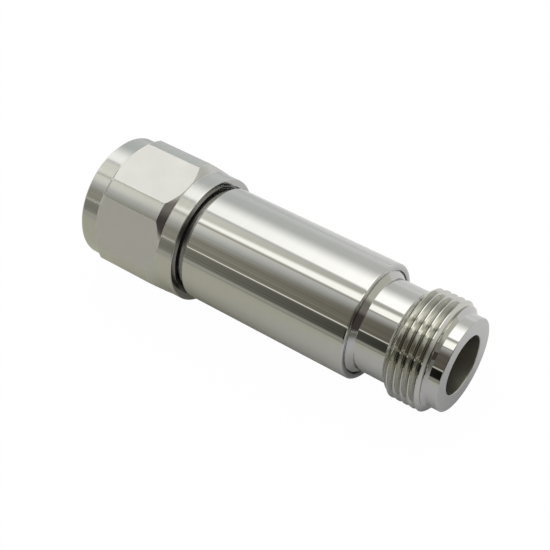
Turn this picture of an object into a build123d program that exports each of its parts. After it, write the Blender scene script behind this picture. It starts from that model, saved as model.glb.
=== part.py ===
from build123d import *
import os
from math import sqrt

# Coaxial attenuator with a type N plug at the -X end and a type N jack at the +X end.
# Millimetres. The axis is X, two flats of the coupling nut face +Z and -Z, and the
# origin is halfway along the axis. Threads are plain cylinders here: the jack's has
# the thread's major diameter, and the nut's has its minor diameter.

# Lengths along the axis, from the plug's end to the jack's end
NUT_GAP = 1.15
SLEEVE_LENGTH = 26.9
FLANGE_RECESS = 0.25
NECK_LENGTH = 4.555
THREAD_LENGTH = 4.41
THREAD_END_CONE = 0.9
NOSE_LENGTH = 1.65

# Coupling nut
NUT_ACROSS_FLATS = 19.05
NUT_ACROSS_CORNERS = 20.6
NUT_RING_DIAMETER = 18.5
NUT_RING_LENGTH = 2.95
NUT_RING_CHAMFER = 0.3
NUT_COLLAR_WALL = 0.91
NUT_COLLAR_LENGTH = 2.6
NUT_COLLAR_ROUND = 0.12
NUT_REAR_CONE = 1.1
NUT_MOUTH_CLEARANCE = 0.11
NUT_MOUTH_DEPTH = 2.0
NUT_MOUTH_CHAMFER = 0.3
NUT_THREAD_RELIEF = 1.0
NUT_RELIEF_STEP = 0.38
NUT_RELIEF_DEPTH = 0.5

# Thread, 5/8-24 UNEF
THREAD_MAJOR = 15.875
THREAD_HEIGHT = 0.4875

# Type N interface
LINE_OUTER = 7.0
LINE_INNER = 3.04
CONTACT_WALL = 0.55
CONTACT_SET_BACK = 4.3
CONTACT_CHAMFER = 0.2
CONTACT_SLOT_WIDTH = 0.4
CONTACT_SLOT_LENGTH = 6.0
SEAT_DEPTH = 9.1
PIN_DIAMETER = 1.65
PIN_PROJECTION = 1.0
PIN_SHOULDER_DEPTH = 5.5
SOCKET_SET_BACK = 4.3
SOCKET_HOLE_DEPTH = 7.0
SOCKET_SLOT_WIDTH = 0.25
SOCKET_SLOT_LENGTH = 5.0
SOCKET_CHAMFER = 0.25
JACK_MOUTH_CLEARANCE = 0.25
JACK_MOUTH_DEPTH = 4.2
JACK_MOUTH_CHAMFER = 0.15

# Body
SLEEVE_OUTER = 17.0
SLEEVE_WALL = 0.85
SLEEVE_ROUND = 0.35
SLEEVE_EDGE = 0.15
PLUG_FLANGE_LIP = 0.35
PLUG_STEP_LENGTH = 3.3
JACK_BEAD_DEPTH = 1.45
NECK_DIAMETER = 13.53
NOSE_DIAMETER = 13.5
NOSE_CHAMFER = 0.15

# Gasket and snap ring
GASKET_OUTER = 13.9
GASKET_THICKNESS = 1.0
SNAP_RING_WIDTH = 0.6
SNAP_RING_DEPTH = 1.05
SNAP_RING_OVERLAP = 0.43
SNAP_RING_OPENING = 3.0
SNAP_RING_FRONT_LAND = 0.7
SNAP_RING_REAR_LAND = 0.55

# Beads, clips and chip
CONTACT_SEAT = 1.4
BEAD_LENGTH = 3.0
BEAD_RING_LENGTH = 1.2
BEAD_RING_WALL = 1.0
JOURNAL_DIAMETER = 2.2
JOURNAL_OVERHANG = 2.6
CLIP_LENGTH = 4.7
CLIP_STEM_DIAMETER = 0.9
CLIP_STEM_LENGTH = 1.5
CLIP_GRIP = 1.2
CLIP_SLOT_SPARE = 0.4
CHIP_WIDTH = 6.9
CHIP_THICKNESS = 0.64
SPRING_SHEET = 0.1
SPRING_GRIP = 0.9

# Chip carrier and its screws
CHANNEL_WIDTH = 5.0
CHANNEL_HEIGHT = 4.6
SCREW_DIAMETER = 1.6
SCREW_HEAD_DIAMETER = 3.0
SCREW_HEAD_HEIGHT = 1.6
SCREW_SEAT_HEIGHT = 1.0
SCREW_REACH = 3.8
SCREW_KEY = 1.5
SCREW_KEY_DEPTH = 0.8
SCREW_EDGE_DISTANCE = 2.13
SCREW_END_DISTANCE = 3.2

# Clearances
PUSH_FIT = 0.02
RUNNING_FIT = 0.07
RING_END_PLAY = 0.1
RING_ROOT_CLEARANCE = 0.3
HOLE_CLEARANCE = 0.1

# Radii that set stations, and the stations along X. The jack's flange and the start of its
# thread are 45 degree cones.
sleeve_bore_radius = SLEEVE_OUTER / 2 - SLEEVE_WALL
carrier_radius = sleeve_bore_radius - PUSH_FIT
flange_cone = carrier_radius - NECK_DIAMETER / 2
thread_start_cone = (THREAD_MAJOR - NECK_DIAMETER) / 2
jack_length = flange_cone + NECK_LENGTH + thread_start_cone
jack_length += THREAD_LENGTH + THREAD_END_CONE + NOSE_LENGTH
ring_groove_width = SNAP_RING_WIDTH + 2 * RING_END_PLAY
interface_length = CONTACT_SET_BACK + SEAT_DEPTH + GASKET_THICKNESS
nut_length = interface_length + SNAP_RING_FRONT_LAND + ring_groove_width
nut_length += SNAP_RING_REAR_LAND + NUT_RELIEF_DEPTH
total_length = nut_length + NUT_GAP + SLEEVE_LENGTH - FLANGE_RECESS + jack_length
nut_front = -total_length / 2
nut_rear = nut_front + nut_length
sleeve_front = nut_rear + NUT_GAP
sleeve_rear = sleeve_front + SLEEVE_LENGTH
flange_face = sleeve_rear - FLANGE_RECESS
neck_start = flange_face + flange_cone
neck_end = neck_start + NECK_LENGTH
thread_front = neck_end + thread_start_cone + THREAD_LENGTH
nose_foot = thread_front + THREAD_END_CONE
jack_front = nose_foot + NOSE_LENGTH

contact_end = nut_front + CONTACT_SET_BACK
gasket_front = contact_end + SEAT_DEPTH
plug_flange_front = gasket_front + GASKET_THICKNESS
ring_groove_front = plug_flange_front + SNAP_RING_FRONT_LAND
ring_groove_rear = ring_groove_front + ring_groove_width
plug_bead_front = plug_flange_front + CONTACT_SEAT
plug_bead_rear = plug_bead_front + BEAD_LENGTH
plug_pin_rear = plug_bead_rear + JOURNAL_OVERHANG
carrier_front = plug_bead_rear + PLUG_STEP_LENGTH
jack_bead_front = flange_face - JACK_BEAD_DEPTH
jack_bead_rear = jack_bead_front - BEAD_LENGTH
carrier_rear = jack_bead_rear - BEAD_RING_LENGTH
jack_socket_rear = jack_bead_rear - JOURNAL_OVERHANG
jack_seat = jack_front - SEAT_DEPTH
socket_end = jack_front - SOCKET_SET_BACK
chip_front = plug_pin_rear + CLIP_LENGTH - CLIP_GRIP
chip_rear = jack_socket_rear - CLIP_LENGTH + CLIP_GRIP
chip_length = chip_rear - chip_front
chip_middle = (chip_front + chip_rear) / 2

# Other radii that two pieces share
plug_flange_radius = sleeve_bore_radius + PLUG_FLANGE_LIP
running_radius = plug_flange_radius + RUNNING_FIT
snap_ring_radius = running_radius + SNAP_RING_OVERLAP
ring_root_radius = snap_ring_radius - SNAP_RING_DEPTH - RING_ROOT_CLEARANCE
thread_minor_radius = THREAD_MAJOR / 2 - THREAD_HEIGHT
nut_mouth_radius = THREAD_MAJOR / 2 + NUT_MOUTH_CLEARANCE
nut_relief_radius = running_radius + NUT_RELIEF_STEP
nut_collar_radius = snap_ring_radius + PUSH_FIT + NUT_COLLAR_WALL
contact_radius = LINE_OUTER / 2 + CONTACT_WALL
bead_radius = contact_radius
bead_seat_radius = bead_radius + PUSH_FIT
bead_bore_radius = JOURNAL_DIAMETER / 2 + PUSH_FIT
jack_mouth_radius = contact_radius + JACK_MOUTH_CLEARANCE
spring_half_height = CHIP_THICKNESS / 2 + PUSH_FIT + SPRING_SHEET
spring_half_width = CHIP_WIDTH / 2 + PUSH_FIT + SPRING_SHEET

os.makedirs("parts", exist_ok=True)


def half_section(*points):
    """Half of a turned piece's section: each point is a distance along the axis and a radius."""
    with BuildSketch(Plane.XZ) as section:
        with BuildLine():
            Polyline(*points, close=True)
        make_face()
    return section.sketch


# Coupling nut: turned outline cut to a hexagon, with cones where the corners end
ring_end = nut_front + NUT_RING_LENGTH
corner_start = ring_end + (NUT_ACROSS_CORNERS - NUT_RING_DIAMETER) / 2
collar_start = nut_rear - NUT_COLLAR_LENGTH
corner_end = collar_start - NUT_REAR_CONE
nut_thread_front = nut_front + NUT_MOUTH_DEPTH
nut_thread_rear = gasket_front - NUT_THREAD_RELIEF
nut_relief_front = nut_rear - NUT_RELIEF_DEPTH
with BuildPart() as coupling_nut:
    revolve(
        half_section(
            (nut_front, 0),
            (nut_front, NUT_RING_DIAMETER / 2 - NUT_RING_CHAMFER),
            (nut_front + NUT_RING_CHAMFER, NUT_RING_DIAMETER / 2),
            (ring_end, NUT_RING_DIAMETER / 2),
            (corner_start, NUT_ACROSS_CORNERS / 2),
            (corner_end, NUT_ACROSS_CORNERS / 2),
            (collar_start, nut_collar_radius),
            (nut_rear, nut_collar_radius),
            (nut_rear, 0),
        ),
        axis=Axis.X,
    )
    fillet(coupling_nut.edges().group_by(Axis.X)[-1], NUT_COLLAR_ROUND)
    with BuildSketch(Plane.YZ.offset(nut_front)):
        RegularPolygon(NUT_ACROSS_FLATS / 2, 6, major_radius=False)
    extrude(amount=nut_length, mode=Mode.INTERSECT)
    revolve(
        half_section(
            (nut_front, 0),
            (nut_front, nut_mouth_radius + NUT_MOUTH_CHAMFER),
            (nut_front + NUT_MOUTH_CHAMFER, nut_mouth_radius),
            (nut_thread_front, nut_mouth_radius),
            (nut_thread_front, thread_minor_radius),
            (nut_thread_rear, thread_minor_radius),
            (nut_thread_rear, running_radius),
            (nut_relief_front, running_radius),
            (nut_relief_front, nut_relief_radius),
            (nut_rear, nut_relief_radius),
            (nut_rear, 0),
        ),
        axis=Axis.X,
        mode=Mode.SUBTRACT,
    )
    revolve(
        half_section(
            (ring_groove_front, thread_minor_radius),
            (ring_groove_front, snap_ring_radius + PUSH_FIT),
            (ring_groove_rear, snap_ring_radius + PUSH_FIT),
            (ring_groove_rear, thread_minor_radius),
        ),
        axis=Axis.X,
        mode=Mode.SUBTRACT,
    )
coupling_nut.part.label = "coupling_nut"
export_step(coupling_nut.part, "parts/coupling_nut.step")

# Split ring that sprang into the nut's groove and keeps the nut on the plug body
snap_ring_front = ring_groove_front + RING_END_PLAY
with BuildPart() as nut_snap_ring:
    with BuildSketch(Plane.YZ.offset(snap_ring_front)):
        Circle(snap_ring_radius)
        Circle(snap_ring_radius - SNAP_RING_DEPTH, mode=Mode.SUBTRACT)
        with Locations((0, -snap_ring_radius)):
            Rectangle(SNAP_RING_OPENING, snap_ring_radius, mode=Mode.SUBTRACT)
    extrude(amount=SNAP_RING_WIDTH)
nut_snap_ring.part.label = "nut_snap_ring"
export_step(nut_snap_ring.part, "parts/nut_snap_ring.step")

# Gasket on the plug body's front face, where the nose of a mating jack lands
with BuildPart() as mating_gasket:
    with BuildSketch(Plane.YZ.offset(gasket_front)):
        Circle(GASKET_OUTER / 2)
        Circle(contact_radius + HOLE_CLEARANCE, mode=Mode.SUBTRACT)
    extrude(amount=GASKET_THICKNESS)
mating_gasket.part.label = "mating_gasket"
export_step(mating_gasket.part, "parts/mating_gasket.step")

# Plug body: flange that the nut turns on, and the spigot pressed into the sleeve
with BuildPart() as plug_body:
    revolve(
        half_section(
            (plug_flange_front, bead_seat_radius),
            (plug_flange_front, plug_flange_radius),
            (ring_groove_front, plug_flange_radius),
            (ring_groove_front, ring_root_radius),
            (ring_groove_rear, ring_root_radius),
            (ring_groove_rear, plug_flange_radius),
            (sleeve_front, plug_flange_radius),
            (sleeve_front, carrier_radius),
            (carrier_front, carrier_radius),
            (carrier_front, LINE_OUTER / 2),
            (plug_bead_rear, LINE_OUTER / 2),
            (plug_bead_rear, bead_seat_radius),
        ),
        axis=Axis.X,
    )
plug_body.part.label = "plug_body"
export_step(plug_body.part, "parts/plug_body.step")

# Outer contact of the plug: a tube with spring slots, pressed into the plug body
with BuildPart() as plug_contact:
    revolve(
        half_section(
            (contact_end, LINE_OUTER / 2),
            (contact_end, contact_radius - CONTACT_CHAMFER),
            (contact_end + CONTACT_CHAMFER, contact_radius),
            (plug_bead_front, contact_radius),
            (plug_bead_front, LINE_OUTER / 2),
        ),
        axis=Axis.X,
    )
    with BuildSketch(Plane.YZ.offset(contact_end)):
        with PolarLocations(0, 2, start_angle=45, angular_range=180):
            Rectangle(3 * contact_radius, CONTACT_SLOT_WIDTH)
    extrude(amount=CONTACT_SLOT_LENGTH, mode=Mode.SUBTRACT)
plug_contact.part.label = "plug_contact"
export_step(plug_contact.part, "parts/plug_contact.step")


def bead(front):
    """Section of a bead between the line's outer contact and the journal of its centre contact."""
    return half_section(
        (front, bead_bore_radius),
        (front, bead_radius),
        (front + BEAD_LENGTH, bead_radius),
        (front + BEAD_LENGTH, bead_bore_radius),
    )


with BuildPart() as plug_bead:
    revolve(bead(plug_bead_front), axis=Axis.X)
plug_bead.part.label = "plug_bead"
export_step(plug_bead.part, "parts/plug_bead.step")

with BuildPart() as jack_bead:
    revolve(bead(jack_bead_rear), axis=Axis.X)
jack_bead.part.label = "jack_bead"
export_step(jack_bead.part, "parts/jack_bead.step")

# Ring pressed in behind the jack's bead
with BuildPart() as jack_bead_ring:
    with BuildSketch(Plane.YZ.offset(carrier_rear)):
        Circle(bead_radius)
        Circle(bead_radius - BEAD_RING_WALL, mode=Mode.SUBTRACT)
    extrude(amount=BEAD_RING_LENGTH)
jack_bead_ring.part.label = "jack_bead_ring"
export_step(jack_bead_ring.part, "parts/jack_bead_ring.step")

# Centre pin of the plug, with a round tip and a hole at its rear for the clip's stem
pin_tip = contact_end - PIN_PROJECTION
pin_shoulder = contact_end + PIN_SHOULDER_DEPTH
stem_hole_radius = CLIP_STEM_DIAMETER / 2 + PUSH_FIT
stem_hole_depth = CLIP_STEM_LENGTH + HOLE_CLEARANCE
with BuildPart() as plug_pin:
    with BuildSketch(Plane.XZ):
        with BuildLine():
            Line((plug_pin_rear - stem_hole_depth, 0), (pin_tip, 0))
            ThreePointArc(
                (pin_tip, 0),
                (pin_tip + PIN_DIAMETER / 2 * (1 - sqrt(0.5)), PIN_DIAMETER / 2 * sqrt(0.5)),
                (pin_tip + PIN_DIAMETER / 2, PIN_DIAMETER / 2),
            )
            Polyline(
                (pin_tip + PIN_DIAMETER / 2, PIN_DIAMETER / 2),
                (pin_shoulder, PIN_DIAMETER / 2),
                (pin_shoulder, LINE_INNER / 2),
                (plug_bead_front, LINE_INNER / 2),
                (plug_bead_front, JOURNAL_DIAMETER / 2),
                (plug_pin_rear, JOURNAL_DIAMETER / 2),
                (plug_pin_rear, stem_hole_radius),
                (plug_pin_rear - stem_hole_depth, stem_hole_radius),
                (plug_pin_rear - stem_hole_depth, 0),
            )
        make_face()
    revolve(axis=Axis.X)
plug_pin.part.label = "plug_pin"
export_step(plug_pin.part, "parts/plug_pin.step")

# Centre socket of the jack: a slotted hole for a mating pin, and the same rear end as the pin
pin_hole_radius = PIN_DIAMETER / 2 + PUSH_FIT
with BuildPart() as jack_socket:
    revolve(
        half_section(
            (socket_end, pin_hole_radius),
            (socket_end, LINE_INNER / 2 - SOCKET_CHAMFER),
            (socket_end - SOCKET_CHAMFER, LINE_INNER / 2),
            (jack_bead_front, LINE_INNER / 2),
            (jack_bead_front, JOURNAL_DIAMETER / 2),
            (jack_socket_rear, JOURNAL_DIAMETER / 2),
            (jack_socket_rear, stem_hole_radius),
            (jack_socket_rear + stem_hole_depth, stem_hole_radius),
            (jack_socket_rear + stem_hole_depth, 0),
            (socket_end - SOCKET_HOLE_DEPTH, 0),
            (socket_end - SOCKET_HOLE_DEPTH, pin_hole_radius),
        ),
        axis=Axis.X,
    )
    with BuildSketch(Plane.YZ.offset(socket_end)):
        with PolarLocations(0, 2, angular_range=180):
            Rectangle(LINE_INNER * 2, SOCKET_SLOT_WIDTH)
    extrude(amount=-SOCKET_SLOT_LENGTH, mode=Mode.SUBTRACT)
jack_socket.part.label = "jack_socket"
export_step(jack_socket.part, "parts/jack_socket.step")

# Jack body: spigot in the sleeve, neck, thread and nose from one bar
with BuildPart() as jack_body:
    revolve(
        half_section(
            (carrier_rear, bead_seat_radius),
            (carrier_rear, carrier_radius),
            (flange_face, carrier_radius),
            (neck_start, NECK_DIAMETER / 2),
            (neck_end, NECK_DIAMETER / 2),
            (neck_end + thread_start_cone, THREAD_MAJOR / 2),
            (thread_front, THREAD_MAJOR / 2),
            (nose_foot, NOSE_DIAMETER / 2),
            (jack_front - NOSE_CHAMFER, NOSE_DIAMETER / 2),
            (jack_front, NOSE_DIAMETER / 2 - NOSE_CHAMFER),
            (jack_front, jack_mouth_radius + JACK_MOUTH_CHAMFER),
            (jack_front - JACK_MOUTH_CHAMFER, jack_mouth_radius),
            (jack_front - JACK_MOUTH_DEPTH, jack_mouth_radius),
            (jack_front - JACK_MOUTH_DEPTH, bead_seat_radius),
            (jack_seat, bead_seat_radius),
            (jack_seat, LINE_OUTER / 2),
            (jack_bead_front, LINE_OUTER / 2),
            (jack_bead_front, bead_seat_radius),
        ),
        axis=Axis.X,
    )
jack_body.part.label = "jack_body"
export_step(jack_body.part, "parts/jack_body.step")

# Sleeve over the plug body's spigot, the chip carrier and the jack body's spigot
with BuildPart() as barrel_sleeve:
    revolve(
        half_section(
            (sleeve_front, sleeve_bore_radius),
            (sleeve_front, SLEEVE_OUTER / 2 - SLEEVE_EDGE),
            (sleeve_front + SLEEVE_EDGE, SLEEVE_OUTER / 2),
            (sleeve_rear, SLEEVE_OUTER / 2),
            (sleeve_rear, sleeve_bore_radius + SLEEVE_EDGE),
            (sleeve_rear - SLEEVE_EDGE, sleeve_bore_radius),
        ),
        axis=Axis.X,
    )
    fillet(barrel_sleeve.edges().group_by(Axis.X)[-1].sort_by(SortBy.RADIUS)[-1], SLEEVE_ROUND)
barrel_sleeve.part.label = "barrel_sleeve"
export_step(barrel_sleeve.part, "parts/barrel_sleeve.step")

# Chip with its resistive film, gripped at both ends by a clip and along both sides by a spring
with BuildPart() as attenuator_chip:
    with Locations((chip_middle, 0, 0)):
        Box(chip_length, CHIP_WIDTH, CHIP_THICKNESS)
attenuator_chip.part.label = "attenuator_chip"
export_step(attenuator_chip.part, "parts/attenuator_chip.step")

clip_slot_length = CLIP_GRIP + CLIP_SLOT_SPARE
with BuildPart() as plug_chip_clip:
    with BuildSketch(Plane.YZ.offset(plug_pin_rear)):
        Circle(JOURNAL_DIAMETER / 2)
    extrude(amount=CLIP_LENGTH)
    with BuildSketch(Plane.YZ.offset(plug_pin_rear)):
        Circle(CLIP_STEM_DIAMETER / 2)
    extrude(amount=-CLIP_STEM_LENGTH)
    with Locations((plug_pin_rear + CLIP_LENGTH, 0, 0)):
        Box(
            2 * clip_slot_length,
            JOURNAL_DIAMETER,
            CHIP_THICKNESS + 2 * PUSH_FIT,
            mode=Mode.SUBTRACT,
        )
plug_chip_clip.part.label = "plug_chip_clip"
export_step(plug_chip_clip.part, "parts/plug_chip_clip.step")

with BuildPart() as jack_chip_clip:
    add(plug_chip_clip.part.mirror(Plane.YZ.offset(chip_middle)))
jack_chip_clip.part.label = "jack_chip_clip"
export_step(jack_chip_clip.part, "parts/jack_chip_clip.step")

# Channel springs between the chip's long edges and the carrier, one each side
with BuildPart() as ground_spring_left:
    with BuildSketch(Plane.YZ.offset(chip_front)):
        with Locations((spring_half_width - (SPRING_GRIP + PUSH_FIT + SPRING_SHEET) / 2, 0)):
            Rectangle(SPRING_GRIP + PUSH_FIT + SPRING_SHEET, 2 * spring_half_height)
        Rectangle(
            CHIP_WIDTH + 2 * PUSH_FIT,
            CHIP_THICKNESS + 2 * PUSH_FIT,
            mode=Mode.SUBTRACT,
        )
    extrude(amount=chip_length)
ground_spring_left.part.label = "ground_spring_left"
export_step(ground_spring_left.part, "parts/ground_spring_left.step")

with BuildPart() as ground_spring_right:
    add(ground_spring_left.part.mirror(Plane.XZ))
ground_spring_right.part.label = "ground_spring_right"
export_step(ground_spring_right.part, "parts/ground_spring_right.step")

# Chip carrier: a bar of the sleeve's bore, split along the chip's plane
screw_offset = carrier_radius - SCREW_EDGE_DISTANCE
screw_places = [
    (x, y, SCREW_SEAT_HEIGHT)
    for x in (carrier_front + SCREW_END_DISTANCE, carrier_rear - SCREW_END_DISTANCE)
    for y in (screw_offset, -screw_offset)
]
with BuildPart() as carrier:
    with BuildSketch(Plane.YZ.offset(carrier_front)):
        Circle(carrier_radius)
        Rectangle(CHANNEL_WIDTH, CHANNEL_HEIGHT, mode=Mode.SUBTRACT)
    extrude(amount=carrier_rear - carrier_front)
    with Locations((chip_middle, 0, 0)):
        Box(
            chip_length + 2 * HOLE_CLEARANCE,
            2 * (spring_half_width + PUSH_FIT),
            2 * (spring_half_height + PUSH_FIT),
            mode=Mode.SUBTRACT,
        )

with BuildPart() as holder_upper:
    add(carrier.part)
    split(bisect_by=Plane.XY, keep=Keep.TOP)
    with Locations(*screw_places):
        Hole(SCREW_DIAMETER / 2 + HOLE_CLEARANCE)
        Cylinder(
            SCREW_HEAD_DIAMETER / 2 + HOLE_CLEARANCE,
            sleeve_bore_radius,
            align=(Align.CENTER, Align.CENTER, Align.MIN),
            mode=Mode.SUBTRACT,
        )
holder_upper.part.label = "holder_upper"
export_step(holder_upper.part, "parts/holder_upper.step")

screw_depth = SCREW_SEAT_HEIGHT + SCREW_REACH
with BuildPart() as holder_lower:
    add(carrier.part)
    split(bisect_by=Plane.XY, keep=Keep.BOTTOM)
    with Locations(*screw_places):
        Cylinder(
            SCREW_DIAMETER / 2 + PUSH_FIT,
            screw_depth + HOLE_CLEARANCE,
            align=(Align.CENTER, Align.CENTER, Align.MAX),
            mode=Mode.SUBTRACT,
        )
holder_lower.part.label = "holder_lower"
export_step(holder_lower.part, "parts/holder_lower.step")

# Socket-head screws that clamp the two halves of the carrier
with BuildPart() as holder_screws:
    with Locations(*screw_places):
        Cylinder(
            SCREW_HEAD_DIAMETER / 2,
            SCREW_HEAD_HEIGHT,
            align=(Align.CENTER, Align.CENTER, Align.MIN),
        )
        Cylinder(SCREW_DIAMETER / 2, screw_depth, align=(Align.CENTER, Align.CENTER, Align.MAX))
    with BuildSketch(Plane.XY.offset(SCREW_SEAT_HEIGHT + SCREW_HEAD_HEIGHT)):
        with Locations(*[(x, y) for x, y, _ in screw_places]):
            RegularPolygon(SCREW_KEY / 2, 6, major_radius=False)
    extrude(amount=-SCREW_KEY_DEPTH, mode=Mode.SUBTRACT)
holder_screws.part.label = "holder_screws"
export_step(holder_screws.part, "parts/holder_screws.step")
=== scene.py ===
from math import asin, cos, pi, radians, sin, sqrt, tan

import bmesh
import bpy
from mathutils import Matrix, Vector


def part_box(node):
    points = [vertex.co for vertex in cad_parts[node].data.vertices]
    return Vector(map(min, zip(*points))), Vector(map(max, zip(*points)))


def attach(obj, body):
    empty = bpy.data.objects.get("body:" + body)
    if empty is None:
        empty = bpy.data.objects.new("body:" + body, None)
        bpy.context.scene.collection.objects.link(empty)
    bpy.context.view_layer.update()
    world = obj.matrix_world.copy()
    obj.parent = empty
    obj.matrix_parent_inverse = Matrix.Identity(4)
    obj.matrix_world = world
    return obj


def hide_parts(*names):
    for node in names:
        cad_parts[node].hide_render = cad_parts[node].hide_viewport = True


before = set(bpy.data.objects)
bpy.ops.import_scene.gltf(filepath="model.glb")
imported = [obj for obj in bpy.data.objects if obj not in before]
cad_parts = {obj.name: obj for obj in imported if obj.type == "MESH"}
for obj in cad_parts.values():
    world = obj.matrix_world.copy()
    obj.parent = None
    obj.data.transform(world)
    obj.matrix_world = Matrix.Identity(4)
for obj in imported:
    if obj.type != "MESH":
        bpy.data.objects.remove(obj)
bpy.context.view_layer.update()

mm = 0.001
scene = bpy.context.scene
scene.view_settings.view_transform = "Standard"

# Camera: a long lens above the jack's side of the front, rolled a few degrees, so that the
# axis runs from the upper left to the lower right of the picture.
camera_place = Vector((75.51, -83.60, 137.75)) * mm
camera_right = Vector((0.80797, 0.58127, -0.09654))
camera_up = Vector((-0.40472, 0.66655, 0.62604))
camera_back = Vector((0.42825, -0.46674, 0.77380))
camera_data = bpy.data.cameras.new("camera")
camera_data.sensor_width = 36
camera_data.lens = 83.54
camera = bpy.data.objects.new("camera", camera_data)
camera.matrix_world = Matrix.Translation(camera_place) @ Matrix(
    (camera_right, camera_up, camera_back)
).transposed().to_4x4()
scene.collection.objects.link(camera)
scene.camera = camera


# Coupling nut: the hexagon nut that draws the plug onto a mating jack. It is turned from
# hexagon bar in stainless steel, polished on its round parts and left satin on its flats,
# and its thread is cut inside. It turns freely on the plug body.
round_steps = 192
nut_low, nut_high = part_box("coupling_nut")
nut_across_flats = 19.05 * mm
nut_across_corners = 20.6 * mm
nut_ring_radius = 9.25 * mm
nut_ring_length = 2.95 * mm
nut_ring_chamfer = 0.3 * mm
nut_collar_radius = 9.43 * mm
nut_collar_length = 2.6 * mm
nut_collar_round = 0.12 * mm
nut_rear_cone = 1.1 * mm
nut_mouth_radius = 8.05 * mm
nut_mouth_depth = 2.0 * mm
nut_mouth_chamfer = 0.3 * mm
nut_running_radius = 8.07 * mm
nut_relief_radius = 8.45 * mm
nut_relief_depth = 0.5 * mm
nut_thread_crest = 7.45 * mm
nut_thread_root = 7.99 * mm
nut_thread_length = 10.4 * mm
thread_pitch = 25.4 / 24 * mm
edge_break = 0.09 * mm
same_point = 0.001 * mm
micrometre = 0.001 * mm


def arc_corner(before, corner, after, radius, steps=5):
    """Points of a round corner of that radius between two straight stretches of a profile."""
    a = (before - corner).normalized()
    b = (after - corner).normalized()
    half = a.angle(b) / 2
    centre = corner + (a + b).normalized() * radius / sin(half)
    first = corner + a * radius / tan(half)
    last = corner + b * radius / tan(half)
    start, end = first - centre, last - centre
    turn = start.angle(end)
    return [
        centre + (start * sin((1 - t) * turn) + end * sin(t * turn)) / sin(turn)
        for t in (k / steps for k in range(steps + 1))
    ]


def turned_outline(corners, closed=True):
    """Outline of a turned piece from (distance along the axis, radius, corner radius), with a
    ring close to each end of a long stretch, so that the shading of a corner stays in it."""
    long_stretch = 0.5 * mm
    ring_inset = 0.05 * mm
    points = [Vector((x, r)) for x, r, _ in corners]
    count = len(points)
    outline = []
    for k, (_, _, radius) in enumerate(corners):
        inner = closed or 0 < k < count - 1
        if radius and inner:
            outline += arc_corner(points[k - 1], points[k], points[(k + 1) % count], radius)
        else:
            outline.append(points[k])
    held = []
    pairs = list(zip(outline, outline[1:] + outline[:1]))
    for a, b in pairs if closed else pairs[:-1]:
        held.append(a)
        run = b - a
        if run.length > long_stretch:
            step = run.normalized() * ring_inset
            held += [a + step, b - step]
    if not closed:
        held.append(outline[-1])
    return held


def turned_mesh(name, outline, closed=True):
    """The outline turned about the axis. Its rows start at the top and go round by -Y."""
    shape = bmesh.new()
    rings = []
    for x, r in outline:
        angles = [2 * pi * k / round_steps for k in range(round_steps)]
        rings.append([shape.verts.new((x, -r * sin(a), r * cos(a))) for a in angles])
    for a, b in zip(rings, rings[1:] + rings[:1] if closed else rings[1:]):
        for k in range(round_steps):
            after = (k + 1) % round_steps
            shape.faces.new((a[k], a[after], b[after], b[k]))
    bmesh.ops.recalc_face_normals(shape, faces=shape.faces)
    mesh = bpy.data.meshes.new(name)
    shape.to_mesh(mesh)
    shape.free()
    mesh.shade_smooth()
    return mesh


def add_piece(name, mesh, body, slot, *nodes):
    """A finished piece at the origin, riding on its body in place of its CAD nodes."""
    piece = bpy.data.objects.new(name, mesh)
    scene.collection.objects.link(piece)
    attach(piece, body)
    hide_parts(*nodes)
    return piece


def evaluated_mesh(piece):
    """The piece's mesh with its modifiers applied, as a plain mesh of its own."""
    graph = bpy.context.evaluated_depsgraph_get()
    return bpy.data.meshes.new_from_object(piece.evaluated_get(graph))


def feed(tree, socket, value):
    """Gives an input a number, a colour or another node's output."""
    if isinstance(value, tuple):
        socket.default_value = (*value, 1)
    elif isinstance(value, (int, float)):
        socket.default_value = value
    else:
        tree.links.new(value, socket)


def math_node(tree, operation, *values, clamp=False):
    """A Math node whose inputs are numbers or sockets."""
    node = tree.nodes.new("ShaderNodeMath")
    node.operation = operation
    node.use_clamp = clamp
    for socket, value in zip(node.inputs, values):
        feed(tree, socket, value)
    return node.outputs[0]


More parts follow.
